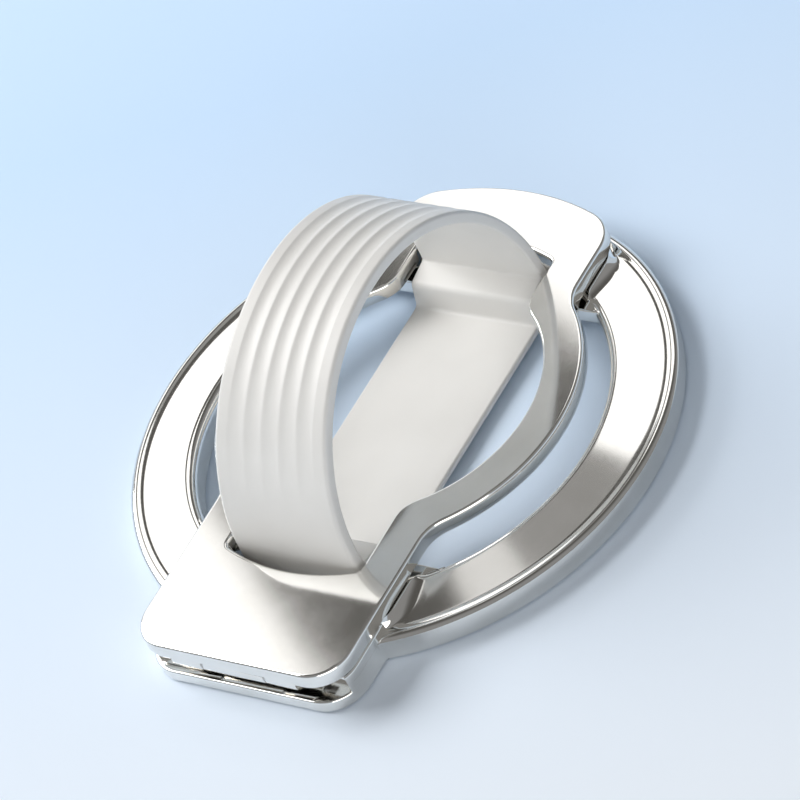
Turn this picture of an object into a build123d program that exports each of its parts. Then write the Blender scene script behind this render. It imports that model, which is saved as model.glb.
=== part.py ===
from build123d import *

import os
from math import cos, pi, radians, sin, sqrt, tan

# Phone ring holder: a magnetic base ring, a stand plate hinged to it and a soft finger strap.
# Frame: origin at the ring's centre on its underside, +Z up towards the finger loop,
# +X along the hinge, +Y from the hinge to the free end of the stand. Sizes are in millimetres.

# Driving dimensions of the base ring
ring_diameter = 58.0
ring_width = 7.15
rim_drop = 0.47              # foot of the rim's bead below the inner edge of the ring's face
rim_width = 0.75
rim_fall = 0.27              # the bead falls this far to the outer wall
cove_width = 0.75            # hollow between the bead and the sloping face
face_slope = 7.0             # degrees, the face falls outwards
inner_edge_radius = 0.7
seat_rise = 0.35             # seats under the stand lie this far above the face
seat_margin = 0.3            # seat edge outside the stand's edge
seat_run = 4.4               # soft run-out from a seat down to its foot
seat_sink = 0.3              # foot of the run-out below the lowest line of the face
seat_inset = 0.05            # seat's inner wall outside the ring's inner wall
seat_edge_chamfer = 0.2

# Driving dimensions of the magnet stack in the ring's underside
cover_thickness = 0.4
cover_wall = 0.7
magnet_count = 16
magnet_thickness = 1.2
magnet_wall = 1.4
magnet_gap = 0.35            # between neighbouring magnets
shunt_thickness = 0.2
stack_clearance = 0.05

# Driving dimensions of the crossbars that hold the strap
bar_width = 2.4
bar_thickness = 1.75
bar_drop = 0.1               # top of the crossbars below the ring's face
bar_chamfer = 0.2
bar_gap = 1.9                # slot between the two tongues of a crossbar
bar_gap_offset = 2.4         # the slots are staggered this far from the middle

# Driving dimensions of the finger strap
strap_end_width = 15.2
strap_crown_width = 12.6
strap_clearance = 0.5        # strap ends to the ring's inner wall
strap_ground_gap = 0.35      # underside of the strap above the ring's underside
strap_floor = 0.85           # wall below a channel
strap_band = 0.8             # flat band across the ring
strap_outer_wall = 0.8       # wall outside a channel
strap_inner_wall = 0.75      # wall inside a channel at its top
strap_roof = 0.8             # wall above a channel's inner corner
strap_roof_rise = 0.5        # the roof climbs this far to the arch
strap_block_lean = 0.6       # the inner wall leans outwards this far
strap_arch_wall = 1.3
strap_leg_rise = 0.65        # straight leg between an end block and the arch
strap_corner_radius = 1.0
strap_inside_radius = 0.5
strap_wall_radius = 0.2      # bend between an end block and the arch
channel_clearance = 0.1
groove_count = 5
groove_pitch = 2.1
groove_tool_radius = 1.6
groove_depth = 0.25
groove_fade_angle = 75.0     # degrees from the crown, where a groove runs out

# Driving dimensions of the stand plate
plate_thickness = 1.75
plate_gap = 0.15             # air between the closed plate and its seats
plate_edge_radius = 0.4
plate_foot_chamfer = 0.15
plate_rim_inset = 0.15       # free end inside the ring's outer wall
opening_clearance = 0.5      # plate to each side of the strap
opening_lip = 0.15           # plate opening outside the ring's inner wall
frame_width = 4.35           # straight side bars of the plate
arm_gap = 2.35               # bowed arm inside the ring's inner wall
arm_width = 4.15
arm_centre_y = 1.2
front_corner_radius = 4.0
free_corner_radius = 3.0
shoulder_radius = 4.0        # outer bend between a side bar and a bowed arm
waist_radius = 3.5           # inner bend between a side bar and a bowed arm
opening_corner_radius = 0.8

# Driving dimensions of the hinge
tab_length = 4.6             # tab beyond the ring's outer wall
tab_cove_radius = 0.8        # bend between the tab's side and the ring's wall
lip_height = 1.4
lip_chamfer = 0.2
slot_corner_radius = 0.7
hinge_inset = 0.9            # hinge axis behind the plate's front edge
hinge_drop = 0.15            # hinge axis below the plate's underside
knuckle_radius = 1.0
knuckle_clearance = 0.2
pocket_clearance = 0.12
centre_knuckle_length = 7.3
outer_knuckle_length = 3.6
washer_thickness = 0.2
washer_clearance = 0.025
washer_margin = 0.05         # washer rim inside the knuckle's surface
neck_setback = 0.2           # neck of the centre knuckle behind the hinge axis
pin_radius = 0.5
pin_running_clearance = 0.03
pin_seat_clearance = 0.01
pin_end_inset = 0.1

# Ring levels and radii that follow
ring_outer_radius = ring_diameter / 2
ring_inner_radius = ring_outer_radius - ring_width
bar_bottom = strap_ground_gap + strap_floor + channel_clearance
bar_top = bar_bottom + bar_thickness
face_height = bar_top + bar_drop
rim_height = face_height - rim_drop
seat_height = face_height + seat_rise
slope = radians(face_slope)
face_start_radius = ring_inner_radius + inner_edge_radius * (1 + sin(slope))
face_start_height = face_height - inner_edge_radius * (1 - cos(slope))
face_end_radius = ring_outer_radius - rim_width - cove_width
face_end_height = face_start_height - (face_end_radius - face_start_radius) * tan(slope)

# Strap sizes that follow
strap_half_width = strap_end_width / 2
strap_half_span = sqrt(ring_inner_radius**2 - strap_half_width**2) - strap_clearance
channel_width = bar_width + 2 * channel_clearance
channel_height = bar_thickness + 2 * channel_clearance
channel_bottom = bar_bottom - channel_clearance
bar_y = strap_half_span - strap_outer_wall - channel_width / 2
block_peak_y = bar_y - channel_width / 2 - strap_inner_wall
block_foot_y = block_peak_y - strap_block_lean
block_peak_z = channel_bottom + channel_height + strap_roof
block_top = block_peak_z + strap_roof_rise
band_top = strap_ground_gap + strap_band
arch_centre_z = block_top + strap_leg_rise
arch_inner_radius = strap_half_span - strap_arch_wall
crown_height = arch_centre_z + strap_half_span

# Plate and hinge sizes that follow
plate_bottom = seat_height + plate_gap
plate_top = plate_bottom + plate_thickness
plate_outer_radius = ring_outer_radius - plate_rim_inset
opening_half_width = strap_half_width + opening_clearance
opening_radius = ring_inner_radius + opening_lip
tab_half_width = opening_half_width + frame_width
arm_outer_radius = ring_inner_radius - arm_gap
arm_inner_radius = arm_outer_radius - arm_width
front_y = -(ring_outer_radius + tab_length)
hinge_y = front_y + hinge_inset
hinge_z = plate_bottom - hinge_drop
slot_back_y = hinge_y + knuckle_radius + knuckle_clearance
centre_knuckle_end = centre_knuckle_length / 2
outer_knuckle_start = centre_knuckle_end + washer_thickness + 2 * washer_clearance
outer_knuckle_end = outer_knuckle_start + outer_knuckle_length

# Magnet stack sizes that follow
cover_inner_radius = ring_inner_radius + cover_wall
cover_outer_radius = ring_outer_radius - cover_wall
groove_inner_radius = ring_inner_radius + magnet_wall
groove_outer_radius = ring_outer_radius - magnet_wall
shunt_bottom = cover_thickness + magnet_thickness
groove_top = shunt_bottom + shunt_thickness

# Places where the seats, the tab and the crossbars root in the ring's walls
run_foot_height = face_end_height - seat_sink
seat_root_height = (groove_top + run_foot_height) / 2
seat_half_width = tab_half_width + seat_margin
run_half_width = seat_half_width + seat_run
tab_root_radius = ring_outer_radius - cover_wall / 2
bar_root_radius = ring_inner_radius + cover_wall

# Corners within this distance of a line count as lying on it
on_line = 0.01


def lies_at(place):
    """Return a test that finds the corners on either of the two lines at plus and minus a place in X."""
    return lambda corner: abs(abs(corner.X) - place) < on_line


os.makedirs("parts", exist_ok=True)


# Hinge tab: a block whose sides bend into the ring's wall
with BuildPart() as hinge_tab:
    with BuildSketch() as tab_outline:
        Circle(ring_outer_radius)
        with Locations((0, front_y / 2)):
            Rectangle(2 * tab_half_width, -front_y)
        tab_rows = tab_outline.vertices().filter_by(lies_at(tab_half_width)).group_by(Axis.Y)
        fillet(tab_rows[0], front_corner_radius)
        fillet(tab_rows[-1], tab_cove_radius)
        Circle(tab_root_radius, mode=Mode.SUBTRACT)
        with Locations((0, front_y / 2)):
            Rectangle(2 * run_half_width, -front_y, mode=Mode.INTERSECT)
    extrude(amount=seat_height)

    # Slot for the hinge, and the low lip with a chamfered edge that is left in front of it
    chamfer_start = lip_height - lip_chamfer
    with BuildSketch(Plane.YZ) as hinge_slot:
        with Locations((front_y, (chamfer_start + plate_top) / 2)):
            Rectangle(2 * (slot_back_y - front_y), plate_top - chamfer_start)
        slot_floor = hinge_slot.vertices().group_by(Axis.Y)[0]
        fillet(slot_floor.sort_by(Axis.X)[-1], slot_corner_radius)
    extrude(amount=ring_outer_radius, both=True, mode=Mode.SUBTRACT)
    with BuildSketch(Plane.XY.offset(chamfer_start)) as lip_outline:
        with Locations((0, (front_y - tab_root_radius) / 2)):
            Rectangle(2 * tab_half_width, -front_y - tab_root_radius)
        fillet(lip_outline.vertices().group_by(Axis.Y)[0], front_corner_radius)
    extrude(amount=lip_chamfer, taper=45)


# Seats for the stand: two flat stretches of the ring and the tab's top, with soft run-outs beside them
with BuildPart() as seats:
    with BuildSketch(Plane.XZ):
        with BuildLine():
            wall_radius = ring_inner_radius + seat_inset
            inner_centre = (wall_radius + inner_edge_radius, seat_height - inner_edge_radius)
            inner_round = CenterArc(inner_centre, inner_edge_radius, 90, 90)
            Polyline(
                inner_round @ 1,
                (wall_radius, seat_root_height),
                (ring_outer_radius, seat_root_height),
                (ring_outer_radius, seat_height - seat_edge_chamfer),
                (ring_outer_radius - seat_edge_chamfer, seat_height),
                inner_round @ 0,
            )
        make_face()
    revolve(axis=Axis.Z)
    add(hinge_tab.part)
    with BuildSketch(Plane.XZ):
        with BuildLine():
            run_foot = (run_half_width, run_foot_height)
            right_run = TangentArc(run_foot, (seat_half_width, seat_height), tangent=(-1, 0))
            Line(right_run @ 1, (0, seat_height))
            Polyline(right_run @ 0, (run_half_width, 0), (0, 0))
            mirror(about=Plane.YZ)
        make_face()
    extrude(amount=ring_diameter, both=True, mode=Mode.INTERSECT)


# Centre knuckle on a neck that stands in the hinge slot, bored for the pin
with BuildPart() as centre_knuckle:
    with BuildSketch(Plane.YZ):
        with Locations((hinge_y, hinge_z)):
            Circle(knuckle_radius)
        with BuildLine():
            neck_front = hinge_y + neck_setback
            neck_back = slot_back_y + knuckle_clearance
            neck_foot = lip_height - lip_chamfer
            Polyline(
                (neck_front, neck_foot),
                (neck_back, neck_foot),
                (neck_back, seat_height),
                (neck_front, seat_height),
                close=True,
            )
        make_face()
        with Locations((hinge_y, hinge_z)):
            Circle(pin_radius + pin_running_clearance, mode=Mode.SUBTRACT)
    extrude(amount=centre_knuckle_end, both=True)


# Crossbars: four tongues from the ring's inner wall, with rounded free ends that face each other
def draw_tongue(side, slot_x, y):
    """Draw one tongue from the ring's wall on the given side to its edge of the slot."""
    end_x = slot_x + side * (bar_gap / 2 + bar_width / 2)
    root_x = side * ring_outer_radius
    with Locations(((root_x + end_x) / 2, y)):
        Rectangle(abs(root_x - end_x), bar_width)
    with Locations((end_x, y)):
        Circle(bar_width / 2)


with BuildPart() as crossbars:
    with BuildSketch(Plane.XY.offset(bar_bottom)):
        for end in (-1, 1):
            for side in (-1, 1):
                draw_tongue(side, end * bar_gap_offset, end * bar_y)
    extrude(amount=bar_thickness)
    chamfer(crossbars.edges().group_by(Axis.Z)[-1], bar_chamfer)
    with BuildSketch():
        Circle(bar_root_radius)
    extrude(amount=seat_height, mode=Mode.INTERSECT)


# Base ring: cast ring with a bead, a cove, a sloping face and a stepped groove in its underside
# for the magnets, the shunt and the cover, joined by the seats, the centre knuckle and the crossbars
with BuildPart() as base_ring:
    with BuildSketch(Plane.XZ):
        with BuildLine():
            round_centre = (ring_inner_radius + inner_edge_radius, face_height - inner_edge_radius)
            rounding = CenterArc(round_centre, inner_edge_radius, 90 - face_slope, 90 + face_slope)
            face_line = Line(rounding @ 0, (face_end_radius, face_end_height))
            bead_foot = (ring_outer_radius - rim_width, rim_height)
            cove = TangentArc(face_line @ 1, bead_foot, tangent=face_line % 1)
            bead_end = (ring_outer_radius, rim_height - rim_fall)
            bead = TangentArc(cove @ 1, bead_end, tangent=cove % 1)
            Polyline(
                bead @ 1,
                (ring_outer_radius, 0),
                (cover_outer_radius, 0),
                (cover_outer_radius, cover_thickness),
                (groove_outer_radius, cover_thickness),
                (groove_outer_radius, groove_top),
                (groove_inner_radius, groove_top),
                (groove_inner_radius, cover_thickness),
                (cover_inner_radius, cover_thickness),
                (cover_inner_radius, 0),
                (ring_inner_radius, 0),
                rounding @ 1,
            )
        make_face()
    revolve(axis=Axis.Z)
    add([seats.part, centre_knuckle.part, crossbars.part])
base_ring.part.label = "base_ring"
export_step(base_ring.part, "parts/base_ring.step")


# Stand plate: two tabs joined by bowed arms, with two hinge knuckles under its front edge
with BuildSketch() as plate_opening:
    Rectangle(2 * opening_half_width, 2 * opening_radius)
    Circle(opening_radius, mode=Mode.INTERSECT)
    with Locations((0, arm_centre_y)):
        Circle(arm_inner_radius)
    corner_rows = plate_opening.vertices().filter_by(lies_at(opening_half_width)).group_by(Axis.Y)
    fillet(corner_rows[1] + corner_rows[-2], waist_radius)
    end_rows = plate_opening.vertices().filter_by(lies_at(opening_half_width)).group_by(Axis.Y)
    fillet(end_rows[0] + end_rows[-1], opening_corner_radius)

with BuildPart() as stand_plate:
    with BuildSketch(Plane.XY.offset(plate_bottom)) as plate_outline:
        with Locations((0, plate_outer_radius / 2)):
            Rectangle(2 * tab_half_width, plate_outer_radius)
        Circle(plate_outer_radius, mode=Mode.INTERSECT)
        with Locations((0, front_y / 2)):
            Rectangle(2 * tab_half_width, -front_y)
        with Locations((0, arm_centre_y)):
            Circle(arm_outer_radius)
        rows = plate_outline.vertices().filter_by(lies_at(tab_half_width)).group_by(Axis.Y)
        fillet(rows[0], front_corner_radius)
        fillet(rows[-1], free_corner_radius)
        fillet(rows[1] + rows[-2], shoulder_radius)
        add(plate_opening.sketch, mode=Mode.SUBTRACT)
    extrude(amount=plate_thickness)
    fillet(stand_plate.edges().group_by(Axis.Z)[-1], plate_edge_radius)
    chamfer(stand_plate.edges().group_by(Axis.Z)[0], plate_foot_chamfer)

    # Pocket that clears the centre knuckle, then the two outer knuckles and the pin's seat
    with BuildSketch(Plane.YZ):
        with Locations((hinge_y, hinge_z)):
            Circle(knuckle_radius + pocket_clearance)
    extrude(amount=outer_knuckle_start, both=True, mode=Mode.SUBTRACT)
    for side in (-1, 1):
        with BuildSketch(Plane.YZ.offset(side * outer_knuckle_start)):
            with Locations((hinge_y, hinge_z)):
                Circle(knuckle_radius)
        extrude(amount=side * outer_knuckle_length)
    with BuildSketch(Plane.YZ):
        with Locations((hinge_y, hinge_z)):
            Circle(pin_radius + pin_seat_clearance)
    extrude(amount=outer_knuckle_end, both=True, mode=Mode.SUBTRACT)
stand_plate.part.label = "stand_plate"
export_step(stand_plate.part, "parts/stand_plate.step")


# Hinge pin through the three knuckles
with BuildPart() as hinge_pin:
    with BuildSketch(Plane.YZ):
        with Locations((hinge_y, hinge_z)):
            Circle(pin_radius)
    extrude(amount=outer_knuckle_end - pin_end_inset, both=True)
hinge_pin.part.label = "hinge_pin"
export_step(hinge_pin.part, "parts/hinge_pin.step")


# Friction washers between the knuckles
for side, name in ((-1, "friction_washer_left"), (1, "friction_washer_right")):
    with BuildPart() as friction_washer:
        with BuildSketch(Plane.YZ.offset(side * (centre_knuckle_end + washer_clearance))):
            with Locations((hinge_y, hinge_z)):
                Circle(knuckle_radius - washer_margin)
                Circle(pin_radius + pin_running_clearance, mode=Mode.SUBTRACT)
        extrude(amount=side * washer_thickness)
    friction_washer.part.label = name
    export_step(friction_washer.part, f"parts/{name}.step")


# Finger strap: a moulded loop with a flat band, an end block on each crossbar and a ribbed arch
with BuildSketch(Plane.YZ) as loop_opening:
    with BuildLine():
        half_arch = CenterArc((0, arch_centre_z), arch_inner_radius, 0, 90)
        Polyline(
            half_arch @ 0,
            (arch_inner_radius, block_top),
            (block_peak_y, block_peak_z),
            (block_foot_y, band_top),
            (0, band_top),
        )
        mirror(about=Plane.YZ)
    make_face()
    block_corners = loop_opening.vertices().filter_by(lambda corner: abs(corner.X) > block_foot_y / 2)
    corner_levels = block_corners.group_by(Axis.Y)
    fillet(corner_levels[0] + corner_levels[1], strap_inside_radius)
    wall_corners = loop_opening.vertices().filter_by(lambda corner: abs(corner.Y - block_top) < on_line)
    fillet(wall_corners, strap_wall_radius)

with BuildPart() as finger_strap:
    with BuildSketch(Plane.YZ) as loop_outline:
        with Locations((0, arch_centre_z)):
            Circle(strap_half_span)
        with Locations((0, arch_centre_z + strap_half_span / 2)):
            Rectangle(2 * strap_half_span, strap_half_span, mode=Mode.INTERSECT)
        with Locations((0, (strap_ground_gap + arch_centre_z) / 2)):
            Rectangle(2 * strap_half_span, arch_centre_z - strap_ground_gap)
        fillet(loop_outline.vertices().group_by(Axis.Y)[0], strap_corner_radius)
        add(loop_opening.sketch_local, mode=Mode.SUBTRACT)
        with Locations(*[(end * bar_y, channel_bottom + channel_height / 2) for end in (-1, 1)]):
            Rectangle(channel_width, channel_height, mode=Mode.SUBTRACT)
    extrude(amount=strap_half_width, both=True)

    # The loop narrows evenly from its ends to its crown
    with BuildSketch(Plane.XZ):
        Polygon(
            (-strap_half_width, strap_ground_gap),
            (strap_half_width, strap_ground_gap),
            (strap_crown_width / 2, crown_height),
            (-strap_crown_width / 2, crown_height),
            align=None,
        )
    extrude(amount=ring_diameter, both=True, mode=Mode.INTERSECT)

    # Shallow grooves over the arch that run out before its legs
    fade = groove_depth / (1 - cos(radians(groove_fade_angle)))
    groove_axis_z = arch_centre_z - fade
    groove_path_radius = strap_half_span + groove_tool_radius - groove_depth + fade
    with BuildSketch(Plane.XY.offset(groove_axis_z)):
        for index in range(groove_count):
            with Locations(((index - (groove_count - 1) / 2) * groove_pitch, groove_path_radius)):
                Circle(groove_tool_radius)
    revolve(axis=Axis((0, 0, groove_axis_z), (1, 0, 0)), revolution_arc=180, mode=Mode.SUBTRACT)
finger_strap.part.label = "finger_strap"
export_step(finger_strap.part, "parts/finger_strap.step")


# Cover ring that closes the groove and rests on the phone
with BuildPart() as cover_ring:
    with BuildSketch():
        Circle(cover_outer_radius - stack_clearance)
        Circle(cover_inner_radius + stack_clearance, mode=Mode.SUBTRACT)
    extrude(amount=cover_thickness)
cover_ring.part.label = "cover_ring"
export_step(cover_ring.part, "parts/cover_ring.step")


# Steel shunt ring that closes the magnets' field above them
with BuildPart() as shunt_ring:
    with BuildSketch(Plane.XY.offset(shunt_bottom)):
        Circle(groove_outer_radius - stack_clearance)
        Circle(groove_inner_radius + stack_clearance, mode=Mode.SUBTRACT)
    extrude(amount=shunt_thickness)
shunt_ring.part.label = "shunt_ring"
export_step(shunt_ring.part, "parts/shunt_ring.step")


# Arc magnets side by side in the groove
magnet_pitch = 360 / magnet_count
magnet_sweep = magnet_pitch - magnet_gap / (pi * (groove_inner_radius + groove_outer_radius)) * 360
for index in range(magnet_count):
    with BuildPart() as magnet:
        with BuildSketch(Plane.XY.offset(cover_thickness)):
            with BuildLine():
                start = index * magnet_pitch - magnet_sweep / 2
                inner = CenterArc((0, 0), groove_inner_radius + stack_clearance, start, magnet_sweep)
                outer = CenterArc((0, 0), groove_outer_radius - stack_clearance, start, magnet_sweep)
                Line(inner @ 0, outer @ 0)
                Line(inner @ 1, outer @ 1)
            make_face()
        extrude(amount=magnet_thickness)
    magnet.part.label = f"magnet_{index + 1:02d}"
    export_step(magnet.part, f"parts/{magnet.part.label}.step")
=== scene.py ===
"""Looks of a phone ring holder: a polished magnetic ring, a hinged stand and a soft finger strap."""

import logging
import math
from collections.abc import Callable, Sequence
from dataclasses import dataclass
from enum import Enum

import bmesh
import bpy
import numpy as np
from mathutils import Matrix, Vector


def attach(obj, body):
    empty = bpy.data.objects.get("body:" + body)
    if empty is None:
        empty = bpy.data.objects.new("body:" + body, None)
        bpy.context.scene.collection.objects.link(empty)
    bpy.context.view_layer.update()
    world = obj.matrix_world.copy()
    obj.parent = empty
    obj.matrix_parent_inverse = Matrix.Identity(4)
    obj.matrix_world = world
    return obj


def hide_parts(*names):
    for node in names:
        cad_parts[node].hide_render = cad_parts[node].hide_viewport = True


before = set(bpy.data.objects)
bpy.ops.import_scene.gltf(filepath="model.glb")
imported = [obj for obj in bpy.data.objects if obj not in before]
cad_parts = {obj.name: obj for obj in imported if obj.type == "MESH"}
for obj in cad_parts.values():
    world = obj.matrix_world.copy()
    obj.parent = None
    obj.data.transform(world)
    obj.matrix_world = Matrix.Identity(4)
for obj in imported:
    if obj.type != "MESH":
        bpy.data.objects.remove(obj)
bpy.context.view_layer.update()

MM = 0.001
SMOOTH_ANGLE = math.radians(32)
# Two places closer than this are one place.
TOUCH = 1e-4
# The longest turn between two places of an arc.
ARC_TURN = math.radians(6)
# Where the ring beside a rounded edge lies, as a share of the edge's radius.
EDGE_SUPPORT = 1.15
# Faces around a rod, and the bevel of its ends as a share of its radius.
ROD_SIDES = 96
ROD_SOFTENING = 0.08
log = logging.getLogger("ring_holder")

Pair = tuple[float, float]
Triple = tuple[float, float, float]
Piece = bpy.types.Object
Finish = bpy.types.Material


class Body(Enum):
    """The two bodies that the pieces ride on."""

    BASE = "base"
    STAND = "stand"


class Join(Enum):
    """How one solid is worked into another."""

    ADD = "UNION"
    CUT = "DIFFERENCE"


# Outlines


@dataclass(frozen=True)
class Stretch:
    """A straight stretch of an outline, with the material on its left."""

    start: Pair
    end: Pair

    def sample(self, step: float) -> tuple[np.ndarray, np.ndarray]:
        """Lay places along the stretch, without its end.

        Args:
            step: The longest distance between two places.

        Returns:
            The places and the outward direction at each.
        """
        first, last = np.array(self.start, float), np.array(self.end, float)
        length = float(np.linalg.norm(last - first))
        count = max(1, math.ceil(length / step))
        share = np.arange(count)[:, None] / count
        along = (last - first) / length
        return first + share * (last - first), np.tile((along[1], -along[0]), (count, 1))

    def close(self) -> tuple[np.ndarray, np.ndarray]:
        """Return the stretch's end and the outward direction there.

        Returns:
            The end and the direction.
        """
        along = np.array(self.end, float) - np.array(self.start, float)
        along /= np.linalg.norm(along)
        return np.array(self.end, float), np.array((along[1], -along[0]))


@dataclass(frozen=True)
class Bend:
    """An arc of an outline, in degrees; one that turns clockwise is hollow."""

    centre: Pair
    radius: float
    start: float
    end: float

    def sample(self, step: float) -> tuple[np.ndarray, np.ndarray]:
        """Lay places along the arc, without its end.

        Args:
            step: The longest distance between two places.

        Returns:
            The places and the outward direction at each.
        """
        sweep = math.radians(self.end - self.start)
        turn = abs(sweep)
        count = max(math.ceil(turn * self.radius / step), math.ceil(turn / ARC_TURN), 2)
        angles = math.radians(self.start) + sweep * np.arange(count) / count
        radial = np.stack([np.cos(angles), np.sin(angles)], 1)
        return np.array(self.centre) + self.radius * radial, math.copysign(1, sweep) * radial

    def close(self) -> tuple[np.ndarray, np.ndarray]:
        """Return the arc's end and the outward direction there.

        Returns:
            The end and the direction.
        """
        angle = math.radians(self.end)
        radial = np.array((math.cos(angle), math.sin(angle)))
        side = math.copysign(1, self.end - self.start)
        return np.array(self.centre) + self.radius * radial, side * radial


Run = list[Stretch | Bend]


def tangent_bend(start: Pair, heading: float, end: Pair) -> tuple[Bend, float]:
    """Draw the arc that leaves a place in a given direction and ends at another place.

    Args:
        start: Where the arc begins.
        heading: The direction of travel there, in degrees.
        end: Where the arc ends.

    Returns:
        The arc and the direction of travel at its end, in degrees.
    """
    first, last = np.array(start), np.array(end)
    chord = last - first
    left = np.array((-math.sin(math.radians(heading)), math.cos(math.radians(heading))))
    reach = float(chord @ chord) / (2 * float(left @ chord))
    centre = first + left * reach
    begin = math.degrees(math.atan2(*(first - centre)[::-1]))
    sweep = 2 * math.degrees(math.asin(float(np.linalg.norm(chord)) / (2 * reach)))
    return Bend((centre[0], centre[1]), abs(reach), begin, begin + sweep), heading + sweep


def rounded_run(corners: Sequence[Triple]) -> Run:
    """Join corners by straight stretches and round each inner corner with its own radius.

    Args:
        corners: Place and radius of each corner in order; the radius of the first and last isn't used.

    Returns:
        The stretches and arcs in order.
    """
    run: Run = []
    here = np.array(corners[0][:2], float)
    for index in range(1, len(corners) - 1):
        corner = np.array(corners[index][:2], float)
        radius = corners[index][2]
        back = here - corner
        ahead = np.array(corners[index + 1][:2], float) - corner
        back, ahead = back / np.linalg.norm(back), ahead / np.linalg.norm(ahead)
        half = math.acos(float(np.clip(back @ ahead, -1, 1))) / 2
        middle = (back + ahead) / np.linalg.norm(back + ahead)
        centre = corner + middle * radius / math.sin(half)
        enter = corner + back * radius / math.tan(half)
        leave = corner + ahead * radius / math.tan(half)
        begin = math.degrees(math.atan2(*(enter - centre)[::-1]))
        side = float(ahead[0] * back[1] - ahead[1] * back[0])
        turn = math.copysign(180 - math.degrees(2 * half), side)
        run.append(Stretch((here[0], here[1]), (enter[0], enter[1])))
        run.append(Bend((centre[0], centre[1]), radius, begin, begin + turn))
        here = leave
    run.append(Stretch((here[0], here[1]), (corners[-1][0], corners[-1][1])))
    return run


def arc(centre: Pair, radius: float, start: float, end: float, count: int) -> list[Pair]:
    """Lay places along an arc, with both of its ends.

    Args:
        centre: The arc's centre.
        radius: Its radius.
        start: The angle at its start, in degrees.
        end: The angle at its end, in degrees.
        count: The number of places.

    Returns:
        The places in order.
    """
    angles = np.radians(np.linspace(start, end, count))
    return [(centre[0] + radius * math.cos(a), centre[1] + radius * math.sin(a)) for a in angles]


def circles(section: Sequence[Pair], columns: int) -> np.ndarray:
    """Turn a section about the Z axis.

    Args:
        section: Radius and height of each row.
        columns: The number of places around each circle.

    Returns:
        The places, one circle for each row.
    """
    turn = np.linspace(0, 2 * math.pi, columns, endpoint=False)
    across, along, flat = np.cos(turn), np.sin(turn), np.ones(columns)
    return np.array([np.column_stack([r * across, r * along, level * flat]) for r, level in section])


class Outline:
    """A closed smooth outline, drawn anticlockwise, as places with the outward direction at each."""

    def __init__(self, parts: Sequence[Stretch | Bend], step: float, mirrored: bool = False) -> None:
        """Sample the parts.

        Args:
            parts: The stretches and arcs in order.
            step: The longest distance between two places.
            mirrored: Whether the parts are the half at positive x, from the axis to the axis.
        """
        sampled = [part.sample(step) for part in parts]
        places = np.concatenate([s[0] for s in sampled])
        outward = np.concatenate([s[1] for s in sampled])
        if mirrored:
            last, direction = parts[-1].close()
            places, outward = np.vstack([places, last]), np.vstack([outward, direction])
            flip = np.array((-1.0, 1.0))
            places = np.vstack([places, places[-2:0:-1] * flip])
            outward = np.vstack([outward, outward[-2:0:-1] * flip])
        self.places = places
        self.outward = outward

    def inset(self, depth: float | np.ndarray) -> np.ndarray:
        """Return the outline's places moved inwards by a depth."""
        return self.places - self.outward * np.asarray(depth).reshape(-1, 1)


# Mesh work


def clear_selection() -> None:
    """Leave nothing selected."""
    bpy.ops.object.select_all(action="DESELECT")


def activate(piece: Piece) -> None:
    """Make one piece the only selected and active one.

    Args:
        piece: The piece.
    """
    clear_selection()
    piece.select_set(True)
    bpy.context.view_layer.objects.active = piece


def skin(name: str, rings: np.ndarray, closed_rows: bool = False) -> Piece:
    """Shape a grid into a skin that closes around its columns.

    Args:
        name: The piece's name.
        rings: Places in millimetres, one ring of columns for each row.
        closed_rows: Whether the last ring also joins the first.

    Returns:
        The new piece.
    """
    if closed_rows:
        rings = np.concatenate([rings, rings[:1]])
    rings = np.concatenate([rings, rings[:, :1]], axis=1)
    rows, columns = rings.shape[:2]
    clear_selection()
    bpy.ops.mesh.primitive_grid_add(x_subdivisions=columns - 1, y_subdivisions=rows - 1, size=1)
    piece = bpy.context.active_object
    piece.name = name
    piece.data.name = name
    piece.data.vertices.foreach_set("co", rings.astype(np.float32).ravel())
    bpy.ops.object.mode_set(mode="EDIT")
    bpy.ops.mesh.select_all(action="SELECT")
    bpy.ops.mesh.remove_doubles(threshold=TOUCH)
    bpy.ops.object.mode_set(mode="OBJECT")
    return piece


def fill_rim(piece: Piece, wanted: Callable[[Vector], bool]) -> None:
    """Close the open rims of a piece with one flat face.

    Args:
        piece: The piece with open rims.
        wanted: Test that says whether an edge's middle lies on a rim to close.
    """
    activate(piece)
    bpy.ops.object.mode_set(mode="EDIT")
    bpy.ops.mesh.select_mode(type="EDGE")
    mesh = bmesh.from_edit_mesh(piece.data)
    for edge in mesh.edges:
        edge.select_set(edge.is_boundary and wanted((edge.verts[0].co + edge.verts[1].co) / 2))
    bmesh.update_edit_mesh(piece.data)
    bpy.ops.mesh.fill(use_beauty=True)
    bpy.ops.object.mode_set(mode="OBJECT")


def face_outwards(piece: Piece) -> None:
    """Turn every face of a closed piece outwards.

    Args:
        piece: The closed piece.
    """
    activate(piece)
    bpy.ops.object.mode_set(mode="EDIT")
    bpy.ops.mesh.select_all(action="SELECT")
    bpy.ops.mesh.normals_make_consistent(inside=False)
    if bmesh.from_edit_mesh(piece.data).calc_volume(signed=True) < 0:
        bpy.ops.mesh.flip_normals()
    bpy.ops.object.mode_set(mode="OBJECT")


def merge(pieces: Sequence[Piece]) -> Piece:
    """Join several pieces into the first.

    Args:
        pieces: The pieces.

    Returns:
        The first piece, which now holds all of them.
    """
    clear_selection()
    for piece in pieces:
        piece.select_set(True)
    bpy.context.view_layer.objects.active = pieces[0]
    bpy.ops.object.join()
    return pieces[0]


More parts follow.
